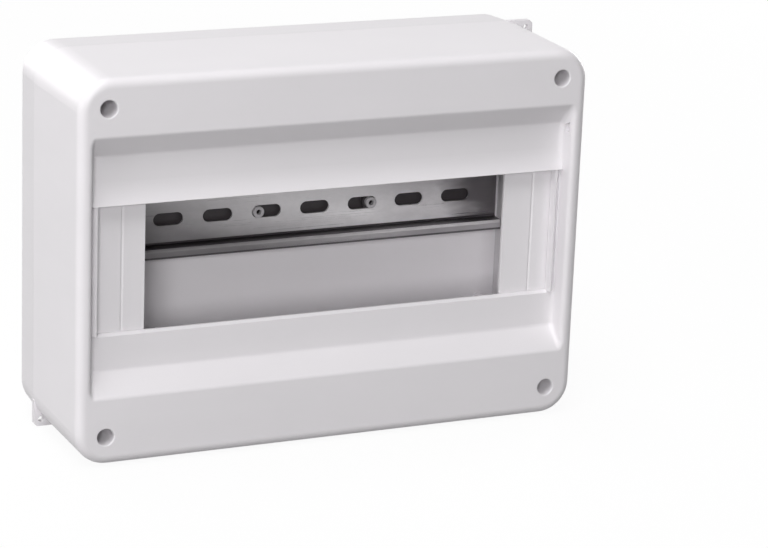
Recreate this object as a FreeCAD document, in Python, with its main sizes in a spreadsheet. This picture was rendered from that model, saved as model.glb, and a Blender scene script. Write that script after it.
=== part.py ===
import FreeCAD, Part
import math
import os
import re
import Sketcher

# Surface distribution board, in millimetres.
# X runs to the right, Y into the wall and Z up. The wall is the plane Y = 0 and the origin is the
# middle of the face that lies on it, so the front of the cover is at Y = -body_depth.

DOC = FreeCAD.newDocument("distribution_board")
SHEET = DOC.addObject("Spreadsheet::Sheet", "sizes")

# Driving sizes: alias, value, what it is
SIZES = [
    ("body_width", 250, "width at the seam between tray and cover"),
    ("body_height", 180, "height at the seam"),
    ("body_depth", 84, "from the wall to the front of the cover"),
    ("base_depth", 22, "depth of the rear tray, up to the seam"),
    ("corner_radius", 16, "upright corners of tray and cover"),
    ("front_round", 4.5, "round of the cover's front edge"),
    ("rear_round", 1, "round of the tray's rear edge"),
    ("cover_wall", 2.3, "wall of the cover"),
    ("base_wall", 2.4, "wall of the tray"),
    ("cover_draft", 1, "lean of the cover's sides, degrees"),
    ("base_draft", 2.7, "lean of the tray's sides, degrees"),
    ("tongue_wall", 1.2, "thickness of the tray's tongue inside the cover"),
    ("tongue_rise", 3, "how far the tongue stands into the cover"),
    ("tongue_foot", 4, "how far the tongue's root runs down the tray"),
    ("tongue_gap", 0.4, "clearance between tongue and cover"),
    ("seam_gap", 0.1, "gap between the tray's rim and the cover's"),
    ("trough_side", 7.7, "recessed band from the board's left and right sides"),
    ("trough_depth", 8.7, "how deep the recessed band is"),
    ("trough_above", 27.5, "band's upper edge below the board's top"),
    ("trough_below", 32.6, "band's lower edge above the board's bottom"),
    ("trough_slope_run", 10.2, "height of each sloped side of the band"),
    ("trough_end_run", 1, "lean of each end wall of the band"),
    ("trough_corner", 2, "round between the band's slopes and end walls"),
    ("trough_foot", 2, "round between the band's floor and its sides"),
    ("trough_rim", 2.2, "round of the band's front edge"),
    ("window_side", 4.3, "device window from the band's end walls"),
    ("window_height", 60, "height of the device window"),
    ("lip_run", 10, "height over which the floor curves out to the lip"),
    ("lip_rise", 3, "how far the lip above the window stands out"),
    ("rim_width", 3.4, "width of the bead beside the window"),
    ("rim_rise", 3, "height of the bead beside the window"),
    ("rim_crest", 0.6, "flat top of that bead"),
    ("sill_bevel", 1.2, "bevel of the window's lower edge"),
    ("hinge_slot_height", 5, "clip hole in each end wall of the band"),
    ("hinge_slot_depth", 3.6, "its size along the depth"),
    ("hinge_slot_rise", 1.3, "its top above the foot of the upper slope"),
    ("hinge_slot_slant", 1.8, "how far its top slants down towards the back"),
    ("hinge_slot_inset", 2.6, "from the front face back to the hole"),
    ("screw_side", 14.7, "cover screws from the board's sides"),
    ("screw_end", 14.5, "cover screws from its top and bottom"),
    ("recess_diameter", 7.8, "screw recess in the cover's corners"),
    ("recess_depth", 44, "from the cover's front to the screw seat"),
    ("recess_round", 0.6, "round of the recess's mouth"),
    ("column_wall", 2, "wall of the screw column"),
    ("column_floor", 3, "thickness of the screw seat"),
    ("screw_head_diameter", 7, "cover screw"),
    ("screw_head_height", 2.8, "cover screw"),
    ("screw_diameter", 4, "cover screw's shank"),
    ("screw_length", 20, "cover screw, under the head"),
    ("screw_slot_width", 1.1, "driver slot"),
    ("screw_slot_depth", 1.2, "driver slot"),
    ("screw_clearance", 0.2, "around the shank in the seat"),
    ("screw_fit", 0.05, "around the shank in the pillar"),
    ("pillar_diameter", 10, "tray's pillars for the cover screws"),
    ("pillar_gap", 0.3, "between pillar and cover column"),
    ("pillar_spare", 2, "bore past the screw's tip"),
    ("rail_height", 35, "top-hat rail"),
    ("rail_inner", 27, "outside of the rail's channel"),
    ("rail_rise", 7.5, "depth of the rail"),
    ("rail_thickness", 1, "rail's sheet"),
    ("rail_bend", 0.7, "inner radius of the rail's bends"),
    ("rail_end_gap", 3, "rail's end to the tray's wall"),
    ("rail_standoff", 3.1, "back of the rail to the tray's floor"),
    ("rail_pitch", 25, "slots along the rail"),
    ("rail_slot_inset", 14.6, "first slot from the rail's left end"),
    ("rail_slot_length", 15, "slot in the rail"),
    ("rail_slot_width", 6.2, "slot in the rail"),
    ("peg_diameter", 5.4, "hollow pegs that locate the rail"),
    ("peg_bore", 2.6, "bore of those pegs"),
    ("peg_bore_depth", 6, "depth of that bore"),
    ("peg_rise", 1.4, "peg past the face of the rail's web"),
    ("peg_collar", 7.4, "collar under the rail round each peg"),
    ("pad_height", 18, "pads under the rail's ends"),
    ("hook_width", 7, "snap hooks over the rail's lips"),
    ("hook_inset", 5.6, "hooks from the rail's ends"),
    ("hook_thickness", 2, "stem of a hook"),
    ("hook_reach", 1.6, "how far a hook's nose covers the lip"),
    ("hook_nose", 1.6, "thickness of a hook's nose"),
    ("hook_clearance", 0.1, "hook to rail"),
    ("fixing_side", 11.5, "wall-fixing holes from the board's sides"),
    ("fixing_end", 33, "wall-fixing holes from its top and bottom"),
    ("fixing_diameter", 5, "wall-fixing hole"),
    ("fixing_boss", 7.4, "boss round a wall-fixing hole"),
    ("fixing_boss_rise", 6, "height of that boss"),
    ("ear_thickness", 1.4, "each sealing ear"),
    ("ear_size", 13, "side of the square that an ear fills"),
    ("ear_corner", 1.6, "round of an ear's corner"),
    ("ear_hole", 2.6, "sealing hole"),
    ("ear_hole_inset", 3.4, "sealing hole from the ear's two edges"),
    ("knockout_diameter", 25, "scored cable entries in the back"),
    ("knockout_score", 1, "width of the score"),
    ("knockout_score_depth", 1.4, "depth of the score"),
    ("knockout_pitch", 62, "between cable entries"),
    ("knockout_inset", 40, "cable entries from the board's top"),
    ("strip_width", 25.6, "blanking strip"),
    ("strip_overlap", 1.6, "how far a strip reaches behind the window's end"),
    ("strip_margin", 3, "how far it reaches above and below the window"),
    ("strip_thickness", 1.7, "blanking strip"),
    ("strip_score", 14.8, "score line from a strip's left edge"),
    ("strip_score_width", 1.6, "score line"),
    ("strip_score_depth", 0.4, "score line"),
    ("strip_play", 0.3, "strip in its guides"),
    ("guide_wall", 1.6, "guides behind the window"),
    ("guide_lip", 1.8, "how far a guide laps over the strip"),
    ("carrier_height", 13, "terminal carrier"),
    ("carrier_thickness", 10, "terminal carrier, front to back"),
    ("carrier_front", 50, "terminal carrier's front from the wall"),
    ("carrier_rise", 20.5, "terminal carrier above the board's bottom"),
    ("carrier_wall", 1.4, "walls round the bars"),
    ("leg_width", 9, "carrier's legs"),
    ("leg_thickness", 3, "carrier's legs"),
    ("socket_wall", 1.4, "tray's sockets for the legs"),
    ("socket_rise", 5, "tray's sockets for the legs"),
    ("socket_clearance", 0.1, "leg in its socket"),
    ("bar_depth", 8, "brass bar, front to back"),
    ("bar_play", 0.1, "bar in its pocket"),
    ("terminal_pitch", 6, "branch terminals along a bar"),
    ("terminal_bore", 4.4, "wire hole of a branch terminal"),
    ("terminal_screw", 3.5, "branch terminal screw"),
    ("main_pitch", 7.6, "main terminal to its first neighbour"),
    ("main_bore", 5.6, "wire hole of a main terminal"),
    ("main_screw", 4.6, "main terminal screw"),
    ("bar_end", 4, "main terminal from the bar's end"),
    ("wire_hole_back", 5, "wire holes behind the bar's front"),
    ("terminal_screw_depth", 2.6, "length of a terminal screw"),
    ("terminal_slot_width", 0.8, "driver slot of a terminal screw"),
    ("terminal_slot_depth", 0.7, "driver slot of a terminal screw"),
]

for row, (alias, number, meaning) in enumerate(SIZES, start=1):
    SHEET.set(f"A{row}", meaning)
    SHEET.set(f"B{row}", str(number))
    SHEET.setAlias(f"B{row}", alias)
DOC.recompute()

ALIASES = {alias for alias, number, meaning in SIZES}
BRANCHES = 5


def bound(text):
    """The expression with each size written as a cell of the sheet."""
    return re.sub(r"[a-z][a-z_]+", lambda m: f"sizes.{m[0]}" if m[0] in ALIASES else m[0], text)


def measure(text):
    """The number that an expression has now."""
    number = SHEET.evalExpression(bound(text))
    return float(getattr(number, "Value", number))


# Places that several pieces share, as expressions
HALF_WIDTH = "(body_width / 2)"
HALF_HEIGHT = "(body_height / 2)"
SEAM = "base_depth"
BAND_HALF = f"({HALF_WIDTH} - trough_side)"
BAND_TOP = f"({HALF_HEIGHT} - trough_above)"
BAND_BOTTOM = f"({HALF_HEIGHT} - trough_below)"
WINDOW_HALF = f"({BAND_HALF} - window_side)"
SCREW_X, SCREW_Z = f"({HALF_WIDTH} - screw_side)", f"({HALF_HEIGHT} - screw_end)"
FIXING_X, FIXING_Z = f"({HALF_WIDTH} - fixing_side)", f"({HALF_HEIGHT} - fixing_end)"
FLOOR = "(body_depth - trough_depth)"
FLOOR_BACK = f"({FLOOR} - cover_wall)"
SEAT = "(body_depth - recess_depth)"
COLUMN_END = f"({SEAT} - column_floor)"
PILLAR_TOP = f"({COLUMN_END} - pillar_gap)"
WEB_BACK = "(base_wall + rail_standoff)"
WEB_FRONT = f"({WEB_BACK} + rail_thickness)"
LIP_FRONT = f"({WEB_BACK} + rail_rise)"
RAIL_LENGTH = "(body_width - 2 * (base_wall + base_depth * tan(base_draft * 1 deg) + rail_end_gap))"
FIRST_SLOT = f"({RAIL_LENGTH} / 2 - rail_slot_inset)"
HOOK_X = f"({RAIL_LENGTH} / 2 - hook_inset)"
PEG_SHIFT = "(rail_slot_length - rail_slot_width) / 2"
PEGS = [f"-({FIRST_SLOT} - 4 * rail_pitch + {PEG_SHIFT})", f"(6 * rail_pitch - {FIRST_SLOT} + {PEG_SHIFT})"]
STRIP_HALF = "(window_height / 2 + strip_margin)"
STRIP_ROOM = "(strip_thickness + 2 * strip_play)"
STRIP_END = f"({WINDOW_HALF} + strip_overlap)"
CARRIER_BACK = "(carrier_front - carrier_thickness)"
CARRIER_DROP = f"({HALF_HEIGHT} - carrier_rise)"
WIRE_ROW = "-(carrier_front - wire_hole_back)"
BAR_LENGTH = f"(2 * bar_end + main_pitch + {BRANCHES - 1} * terminal_pitch)"
BAR_HEIGHT = "(carrier_height - 2 * carrier_wall)"
BAR_SHIFT = f"({BAR_LENGTH} / 2 + carrier_wall)"
CARRIER_WIDTH = f"(2 * {BAR_LENGTH} + 4 * carrier_wall)"
LEG_SHIFT = f"({CARRIER_WIDTH} - leg_thickness) / 2"


# Sketches

def origin_plane(body, role):
    return next(item for item in body.Origin.OriginFeatures if item.Role == role)


def sketch_on(body, name, role, offset="0"):
    """An empty sketch, parallel to one of the body's own planes.

    XZ_Plane: across is X, up is Z, the offset is the distance in front of the wall.
    YZ_Plane: across is Y, up is Z, the offset is X.  XY_Plane: across is X, up is Y."""
    sketch = body.newObject("Sketcher::SketchObject", name)
    sketch.AttachmentSupport = (origin_plane(body, role), [""])
    sketch.MapMode = "FlatFace"
    sketch.setExpression("AttachmentOffset.Base.z", bound(offset))
    return sketch


def pin(sketch, item, point, across, up):
    """Hold one point of a sketch at two expressions."""
    for kind, text in (("DistanceX", across), ("DistanceY", up)):
        number = measure(text)
        if abs(number) < 1e-9:
            index = sketch.addConstraint(Sketcher.Constraint("PointOnObject", item, point,
                                                             -2 if kind == "DistanceX" else -1))
            continue
        if number > 0:
            index = sketch.addConstraint(Sketcher.Constraint(kind, -1, 1, item, point, number))
            sketch.setExpression(f"Constraints[{index}]", bound(text))
        else:
            index = sketch.addConstraint(Sketcher.Constraint(kind, item, point, -1, 1, -number))
            sketch.setExpression(f"Constraints[{index}]", bound(f"-({text})"))


def straight(sketch, start, end):
    """A line between two points, each a pair of numbers."""
    line = Part.LineSegment(FreeCAD.Vector(*start, 0), FreeCAD.Vector(*end, 0))
    return sketch.addGeometry(line, False)


def outline(sketch, points):
    """A closed run of straight lines through points, each a pair of expressions."""
    spots = [(measure(a), measure(b)) for a, b in points]
    first = sketch.GeometryCount
    for start, end in zip(spots, spots[1:] + spots[:1]):
        straight(sketch, start, end)
    last = sketch.GeometryCount - 1
    for item in range(first, last + 1):
        following = item + 1 if item < last else first
        sketch.addConstraint(Sketcher.Constraint("Coincident", item, 2, following, 1))
    for item, (across, up) in zip(range(first, last + 1), points):
        pin(sketch, item, 1, across, up)


def rectangle(sketch, left, right, low, high):
    outline(sketch, [(left, low), (right, low), (right, high), (left, high)])


def rounded_rectangle(sketch, half_width, half_height, radius):
    """A rectangle with round corners about the middle."""
    w, h, r = measure(half_width), measure(half_height), measure(radius)
    normal = FreeCAD.Vector(0, 0, 1)
    runs = [((r - w, -h), (w - r, -h)), ((w, r - h), (w, h - r)),
            ((w - r, h), (r - w, h)), ((-w, h - r), (-w, r - h))]
    sides = [straight(sketch, a, b) for a, b in runs]
    corners = []
    for turn, (x, y) in enumerate(((w - r, r - h), (w - r, h - r), (r - w, h - r), (r - w, r - h))):
        start = (turn - 1) * math.pi / 2
        bend = Part.ArcOfCircle(Part.Circle(FreeCAD.Vector(x, y, 0), normal, r), start, start + math.pi / 2)
        corners.append(sketch.addGeometry(bend, False))
    for turn, side in enumerate(sides):
        sketch.addConstraint(Sketcher.Constraint("Tangent", side, 2, corners[turn], 1))
        sketch.addConstraint(Sketcher.Constraint("Tangent", corners[turn], 2, sides[(turn + 1) % 4], 1))
    for corner in corners[1:]:
        sketch.addConstraint(Sketcher.Constraint("Equal", corners[0], corner))
    for side in sides:
        sketch.addConstraint(Sketcher.Constraint("Vertical" if side in sides[1::2] else "Horizontal", side))
    index = sketch.addConstraint(Sketcher.Constraint("Radius", corners[0], r))
    sketch.setExpression(f"Constraints[{index}]", bound(radius))
    pin(sketch, corners[1], 3, f"{half_width} - ({radius})", f"{half_height} - ({radius})")
    pin(sketch, corners[3], 3, f"-({half_width} - ({radius}))", f"-({half_height} - ({radius}))")


def circle(sketch, across, up, diameter):
    centre = FreeCAD.Vector(measure(across), measure(up), 0)
    item = sketch.addGeometry(Part.Circle(centre, FreeCAD.Vector(0, 0, 1), measure(diameter) / 2), False)
    index = sketch.addConstraint(Sketcher.Constraint("Diameter", item, measure(diameter)))
    sketch.setExpression(f"Constraints[{index}]", bound(diameter))
    pin(sketch, item, 3, across, up)


def slot(sketch, across, up, length, width):
    """A straight slot with round ends, lying across."""
    radius = measure(width) / 2
    reach = measure(length) / 2 - radius
    x, y = measure(across), measure(up)
    normal = FreeCAD.Vector(0, 0, 1)
    ends = []
    for side, turn in ((-1, math.pi / 2), (1, -math.pi / 2)):
        round_end = Part.Circle(FreeCAD.Vector(x + side * reach, y, 0), normal, radius)
        ends.append(sketch.addGeometry(Part.ArcOfCircle(round_end, turn, turn + math.pi), False))
    left, right = ends
    low = straight(sketch, (x - reach, y - radius), (x + reach, y - radius))
    high = straight(sketch, (x + reach, y + radius), (x - reach, y + radius))
    for a, b, c, d in ((left, 2, low, 1), (low, 2, right, 1), (right, 2, high, 1), (high, 2, left, 1)):
        sketch.addConstraint(Sketcher.Constraint("Tangent", a, b, c, d))
    sketch.addConstraint(Sketcher.Constraint("Equal", left, right))
    index = sketch.addConstraint(Sketcher.Constraint("Radius", left, radius))
    sketch.setExpression(f"Constraints[{index}]", bound(f"{width} / 2"))
    pin(sketch, left, 3, f"{across} - ({length} - {width}) / 2", up)
    pin(sketch, right, 3, f"{across} + ({length} - {width}) / 2", up)


# Features

def new_body(name):
    body = DOC.addObject("PartDesign::Body", name)
    body.Label = name
    return body


def feature(body, kind, name, sketch, length, grows, reverse=False, taper=None, both_ways=False):
    """A pad or pocket; its change of volume is compared with what it should do."""
    before = body.Shape.Volume if body.Tip else 0
    item = body.newObject(f"PartDesign::{kind}", name)
    item.Profile = sketch
    item.Type = 0
    item.setExpression("Length", bound(length))
    item.Reversed = reverse
    if both_ways:
        item.SideType = 2
    if taper:
        item.setExpression("TaperAngle", bound(f"-{taper} * 1 deg"))
    sketch.Visibility = False
    DOC.recompute()
    change = item.Shape.Volume - before
    if (change > 0) != grows or abs(change) < 1e-3:
        raise RuntimeError(f"{body.Label}: {name} changed the volume by {change:.3f}")
    return item


def pad(body, name, sketch, length, **options):
    return feature(body, "Pad", name, sketch, length, True, **options)


def pocket(body, name, sketch, length, **options):
    return feature(body, "Pocket", name, sketch, length, False, **options)


def fillet(body, name, chosen, radius):
    """Round the edges of the body for which chosen(edge) holds."""
    base = body.Tip
    names = [f"Edge{i}" for i, edge in enumerate(base.Shape.Edges, start=1) if chosen(edge)]
    if not names:
        raise RuntimeError(f"{body.Label}: {name} found no edge")
    item = body.newObject("PartDesign::Fillet", name)
    item.Base = (base, names)
    item.setExpression("Radius", bound(radius))
    base.Visibility = False
    DOC.recompute()
    return item


def mirrored(body, name, originals):
    """The same features on the other side of the YZ plane."""
    item = body.newObject("PartDesign::Mirrored", name)
    item.Originals = originals
    item.MirrorPlane = (origin_plane(body, "YZ_Plane"), [""])
    body.Tip = item
    DOC.recompute()
    return item


def repeated(body, name, originals, length, occurrences):
    """The same features in a row along X."""
    item = body.newObject("PartDesign::LinearPattern", name)
    item.Originals = originals
    item.Direction = (origin_plane(body, "X_Axis"), [""])
    item.setExpression("Length", bound(length))
    item.setExpression("Occurrences", bound(occurrences))
    body.Tip = item
    DOC.recompute()
    return item


def flat_at(edge, front):
    """True for an edge that lies wholly in the plane at this distance in front of the wall."""
    return all(abs(vertex.Y + front) < 1e-4 for vertex in edge.Vertexes)


def runs_through(edge, front, back):
    """True for an edge from one distance in front of the wall to another."""
    ends = sorted(-vertex.Y for vertex in edge.Vertexes)
    return len(ends) == 2 and abs(ends[0] - back) < 1e-4 and abs(ends[1] - front) < 1e-4


def inside(edge, half_width, half_height):
    """True for an edge whose middle lies within this half width and half height."""
    box = edge.BoundBox
    return abs(box.Center.x) < half_width and abs(box.Center.z) < half_height


def body_rectangle(sketch, inset):
    """The outline of tray and cover at the seam, moved in by an inset."""
    rounded_rectangle(sketch, f"({HALF_WIDTH} - ({inset}))", f"({HALF_HEIGHT} - ({inset}))",
                      f"(corner_radius - ({inset}))")


def four(sketch, across, up, diameter):
    """A circle at the same distances from the middle in each quarter."""
    for x in ("-", ""):
        for z in ("-", ""):
            circle(sketch, x + across, z + up, diameter)


def ear(body, name, offset):
    """Sealing ears that square off the upper right and lower left corners."""
    plate = sketch_on(body, name + "_outline", "XZ_Plane", offset)
    for sign in ("", "-"):
        far_x, far_z = sign + HALF_WIDTH, sign + HALF_HEIGHT
        near_x, near_z = f"{sign}({HALF_WIDTH} - ear_size)", f"{sign}({HALF_HEIGHT} - ear_size)"
        corner_x, corner_z = f"{sign}({HALF_WIDTH} - ear_corner)", f"{sign}({HALF_HEIGHT} - ear_corner)"
        outline(plate, [(near_x, near_z), (far_x, near_z), (far_x, corner_z),
                        (corner_x, far_z), (near_x, far_z)])
    pad(body, name, plate, "ear_thickness")
    holes = sketch_on(body, name + "_hole_outline", "XZ_Plane", offset)
    for sign in ("", "-"):
        circle(holes, f"{sign}({HALF_WIDTH} - ear_hole_inset)", f"{sign}({HALF_HEIGHT} - ear_hole_inset)",
               "ear_hole")
    pocket(body, name + "_hole", holes, "ear_thickness", reverse=True)


# The rear tray

def make_base_box():
    body = new_body("base_box")

    outer = sketch_on(body, "tray_outline", "XZ_Plane", SEAM)
    body_rectangle(outer, "0")
    pad(body, "tray", outer, "base_depth", reverse=True, taper="base_draft")
    fillet(body, "tray_rear", lambda edge: flat_at(edge, 0), "rear_round")
    ear(body, "tray_ear", "base_depth - ear_thickness")

    tongue = sketch_on(body, "tongue_outline", "XZ_Plane", SEAM)
    body_rectangle(tongue, "cover_wall + tongue_gap")
    pad(body, "tongue", tongue, "tongue_rise")

    mouth = sketch_on(body, "mouth_outline", "XZ_Plane", "base_depth + tongue_rise")
    body_rectangle(mouth, "cover_wall + tongue_gap + tongue_wall")
    pocket(body, "mouth", mouth, "tongue_rise + tongue_foot")

    hollow = sketch_on(body, "hollow_outline", "XZ_Plane", "base_depth - tongue_foot")
    body_rectangle(hollow, "base_wall + tongue_foot * tan(base_draft * 1 deg)")
    pocket(body, "hollow", hollow, "base_depth - tongue_foot - base_wall", taper="base_draft")

    pillars = sketch_on(body, "pillar_outline", "XZ_Plane", "base_wall / 2")
    four(pillars, SCREW_X, SCREW_Z, "pillar_diameter")
    pad(body, "pillars", pillars, f"{PILLAR_TOP} - base_wall / 2")
    bores = sketch_on(body, "pillar_bore_outline", "XZ_Plane", PILLAR_TOP)
    four(bores, SCREW_X, SCREW_Z, "screw_diameter + 2 * screw_fit")
    pocket(body, "pillar_bores", bores, "screw_length - column_floor - pillar_gap + pillar_spare")

    make_rail_seats(body)

    bosses = sketch_on(body, "fixing_boss_outline", "XZ_Plane", "base_wall / 2")
    four(bosses, FIXING_X, FIXING_Z, "fixing_boss")
    pad(body, "fixing_bosses", bosses, "base_wall / 2 + fixing_boss_rise")
    holes = sketch_on(body, "fixing_hole_outline", "XZ_Plane", "base_wall + fixing_boss_rise")
    four(holes, FIXING_X, FIXING_Z, "fixing_diameter")
    pocket(body, "fixing_holes", holes, "base_wall + fixing_boss_rise")

    scores = sketch_on(body, "knockout_outline", "XZ_Plane")
    for across in ("-knockout_pitch", "0", "knockout_pitch"):
        up = f"{HALF_HEIGHT} - knockout_inset"
        circle(scores, across, up, "knockout_diameter")
        circle(scores, across, up, "knockout_diameter - 2 * knockout_score")
    pocket(body, "knockout_scores", scores, "knockout_score_depth", reverse=True)

    sockets = sketch_on(body, "socket_outline", "XZ_Plane", "base_wall / 2")
    for sign in ("-", ""):
        middle = f"{sign}{LEG_SHIFT}"
        for wall in ("socket_wall", "0"):
            half_x = f"(leg_thickness / 2 + socket_clearance + {wall})"
            half_z = f"(leg_width / 2 + socket_clearance + {wall})"
            rectangle(sockets, f"{middle} - {half_x}", f"{middle} + {half_x}",
                      f"-({CARRIER_DROP} + {half_z})", f"-({CARRIER_DROP} - {half_z})")
    pad(body, "leg_sockets", sockets, "base_wall / 2 + socket_rise")
    return body


def make_rail_seats(body):
    """Pads and pegs under the rail, and the hooks that hold its lips."""
    collars = sketch_on(body, "collar_outline", "XZ_Plane", "base_wall / 2")
    for place in PEGS:
        circle(collars, place, "0", "peg_collar")
    for sign in ("-", ""):
        rectangle(collars, f"{sign}{HOOK_X} - hook_width / 2", f"{sign}{HOOK_X} + hook_width / 2",
                  "-pad_height / 2", "pad_height / 2")
    pad(body, "rail_pads", collars, "base_wall / 2 + rail_standoff")
    pegs = sketch_on(body, "peg_outline", "XZ_Plane", WEB_BACK)
    for place in PEGS:
        circle(pegs, place, "0", "peg_diameter")
    pad(body, "pegs", pegs, "rail_thickness + peg_rise")
    bores = sketch_on(body, "peg_bore_outline", "XZ_Plane", f"{WEB_FRONT} + peg_rise")
    for place in PEGS:
        circle(bores, place, "0", "peg_bore")
    pocket(body, "peg_bores", bores, "peg_bore_depth")

    edge = "(rail_height / 2 + hook_clearance)"
    face = f"({LIP_FRONT} + hook_clearance)"
    for name, side, hand in (("upper_left_hook", "", "-"), ("upper_right_hook", "", ""),
                             ("lower_left_hook", "-", "-")):
        hook = sketch_on(body, name + "_outline", "YZ_Plane", hand + HOOK_X)
        outline(hook, [("-base_wall / 2", f"{side}{edge}"),
                       (f"-{face}", f"{side}{edge}"),
                       (f"-{face}", f"{side}({edge} - hook_reach)"),
                       (f"-({face} + hook_nose)", f"{side}{edge}"),
                       (f"-({face} + hook_nose)", f"{side}({edge} + hook_thickness)"),
                       ("-base_wall / 2", f"{side}({edge} + hook_thickness)")])
        pad(body, name, hook, "hook_width", both_ways=True)


# The front cover

def band_rectangle(sketch, inset_x, inset_z):
    """The recessed band's outline, moved in from its front edge."""
    rectangle(sketch, f"-({BAND_HALF} - {inset_x})", f"{BAND_HALF} - {inset_x}",
              f"-({BAND_BOTTOM} - {inset_z})", f"{BAND_TOP} - {inset_z}")


def make_front_cover():
    body = new_body("front_cover")
    rear = "base_depth + seam_gap"
    front = measure("body_depth")

    outer = sketch_on(body, "cover_outline", "XZ_Plane", rear)
    body_rectangle(outer, "0")
    pad(body, "cover", outer, f"body_depth - ({rear})", taper="cover_draft")
    fillet(body, "cover_front", lambda edge: flat_at(edge, front), "front_round")
    ear(body, "cover_ear", rear)

    make_band(body)
    make_cover_hollow(body, rear)
    make_window(body)
    make_columns(body)
    make_guides(body)

    make_hinge_slots(body)
    return body


def make_hinge_slots(body):
    """Holes in the band's end walls that take the clips of a door."""
    wall = f"({BAND_HALF} - trough_end_run - trough_end_run)"
    hinge = sketch_on(body, "hinge_slot_outline", "YZ_Plane", wall)
    nearer = "-(body_depth - hinge_slot_inset)"
    further = "-(body_depth - hinge_slot_inset - hinge_slot_depth)"
    upper = f"{BAND_TOP} - trough_slope_run + hinge_slot_rise"
    outline(hinge, [(nearer, f"{upper} - hinge_slot_height"), (further, f"{upper} - hinge_slot_height"),
                    (further, f"{upper} - hinge_slot_slant"), (nearer, upper)])
    cut = pocket(body, "hinge_slot", hinge, "2 * trough_end_run + cover_wall / 2", reverse=True)
    mirrored(body, "hinge_slots", [cut])


def make_band(body):
    """The recessed band across the front: sloped above and below, steep at its ends."""
    mouth = sketch_on(body, "band_mouth", "XZ_Plane", "body_depth")
    band_rectangle(mouth, "0", "0")
    foot = sketch_on(body, "band_foot", "XZ_Plane", FLOOR)
    band_rectangle(foot, "trough_end_run", "trough_slope_run")
    before = body.Shape.Volume
    band = body.newObject("PartDesign::SubtractiveLoft", "band")
    band.Profile = mouth
    band.Sections = [foot]
    band.Ruled = True
    DOC.recompute()
    if band.Shape.Volume >= before:
        raise RuntimeError("front_cover: band cut nothing")
    front, floor = measure("body_depth"), measure(FLOOR)
    half_x, half_z = measure(f"{BAND_HALF} + trough_rim"), measure(f"{BAND_TOP} + trough_rim")
    fillet(body, "band_corners", lambda edge: runs_through(edge, front, floor), "trough_corner")
    fillet(body, "band_floor", lambda edge: flat_at(edge, floor), "trough_foot")
    fillet(body, "band_rim", lambda edge: flat_at(edge, front) and inside(edge, half_x, half_z), "trough_rim")


def make_cover_hollow(body, rear):
    """The cover's inside: one deep hollow, and two shallower ones above and below the band."""
    deep = sketch_on(body, "cover_hollow_outline", "XZ_Plane", rear)
    body_rectangle(deep, "cover_wall")
    pocket(body, "cover_hollow", deep, f"{FLOOR_BACK} - ({rear})", reverse=True, taper="cover_draft")

    lean = "(body_depth * tan(cover_draft * 1 deg))"
    side = f"({HALF_WIDTH} - {lean} - corner_radius)"
    ceiling = f"({HALF_HEIGHT} - {lean} - cover_wall)"
    for name, sign, band in (("upper_hollow", "", BAND_TOP), ("lower_hollow", "-", BAND_BOTTOM)):
        profile = sketch_on(body, name + "_outline", "YZ_Plane")
        outline(profile, [(f"-{FLOOR_BACK}", f"{sign}({band} - trough_slope_run + cover_wall)"),
                          ("-(body_depth - cover_wall)", f"{sign}({band} + cover_wall)"),
                          ("-(body_depth - cover_wall)", f"{sign}({ceiling} - front_round)"),
                          ("-(body_depth - front_round)", f"{sign}{ceiling}"),
                          (f"-{FLOOR_BACK}", f"{sign}{ceiling}")])
        pocket(body, name, profile, f"2 * {side}", both_ways=True)


def make_window(body):
    """The opening for the devices, with the floor curving out to a lip above it."""
    half, top = WINDOW_HALF, "window_height / 2"
    lip = sketch_on(body, "lip_outline", "YZ_Plane")
    inner = f"-({FLOOR} - cover_wall / 2)"
    start, end = (f"-{FLOOR}", f"{top} + lip_run"), (f"-({FLOOR} + lip_rise)", top)
    run, rise = measure("lip_run"), measure("lip_rise")
    radius = (run ** 2 + rise ** 2) / (2 * rise)
    centre = FreeCAD.Vector(-measure(FLOOR) - radius, measure(f"{top} + lip_run"), 0)
    sweep = Part.Circle(centre, FreeCAD.Vector(0, 0, 1), radius)
    arc = lip.addGeometry(Part.ArcOfCircle(sweep, -math.asin(run / radius), 0), False)
    corners = [(measure(a), measure(b)) for a, b in (start, (inner, f"{top} + lip_run"), (inner, top), end)]
    lines = [straight(lip, a, b) for a, b in zip(corners, corners[1:])]
    for a, b, c, d in ((arc, 2, lines[0], 1), (lines[0], 2, lines[1], 1), (lines[1], 2, lines[2], 1),
                       (lines[2], 2, arc, 1)):
        lip.addConstraint(Sketcher.Constraint("Coincident", a, b, c, d))
    for item, (across, up) in zip(lines + [arc], (start, (inner, f"{top} + lip_run"), (inner, top), end)):
        pin(lip, item, 1, across, up)
    index = lip.addConstraint(Sketcher.Constraint("Radius", arc, radius))
    lip.setExpression(f"Constraints[{index}]",
                      bound("(lip_run * lip_run + lip_rise * lip_rise) / (2 * lip_rise)"))
    pad(body, "lip", lip, f"2 * ({WINDOW_HALF} + rim_width)", both_ways=True)

    beads = sketch_on(body, "bead_outline", "XY_Plane")
    for sign in ("-", ""):
        outline(beads, [(f"{sign}{half}", inner), (f"{sign}{half}", f"-({FLOOR} + rim_rise)"),
                        (f"{sign}({half} + rim_crest)", f"-({FLOOR} + rim_rise)"),
                        (f"{sign}({half} + rim_width)", f"-{FLOOR}"), (f"{sign}({half} + rim_width)", inner)])
    pad(body, "beads", beads, "window_height", both_ways=True)

    opening = sketch_on(body, "window_outline", "XZ_Plane", f"{FLOOR_BACK}")
    rectangle(opening, f"-{half}", half, f"-{top}", top)
    pocket(body, "window", opening, "cover_wall + lip_rise + rim_rise", reverse=True)
    sill = sketch_on(body, "sill_outline", "YZ_Plane")
    outline(sill, [(f"-{FLOOR}", f"-{top}"), (f"-{FLOOR}", f"-({top} + sill_bevel)"),
                   (f"-({FLOOR} - sill_bevel)", f"-{top}")])
    pocket(body, "window_sill", sill, f"2 * {half}", both_ways=True)


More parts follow.
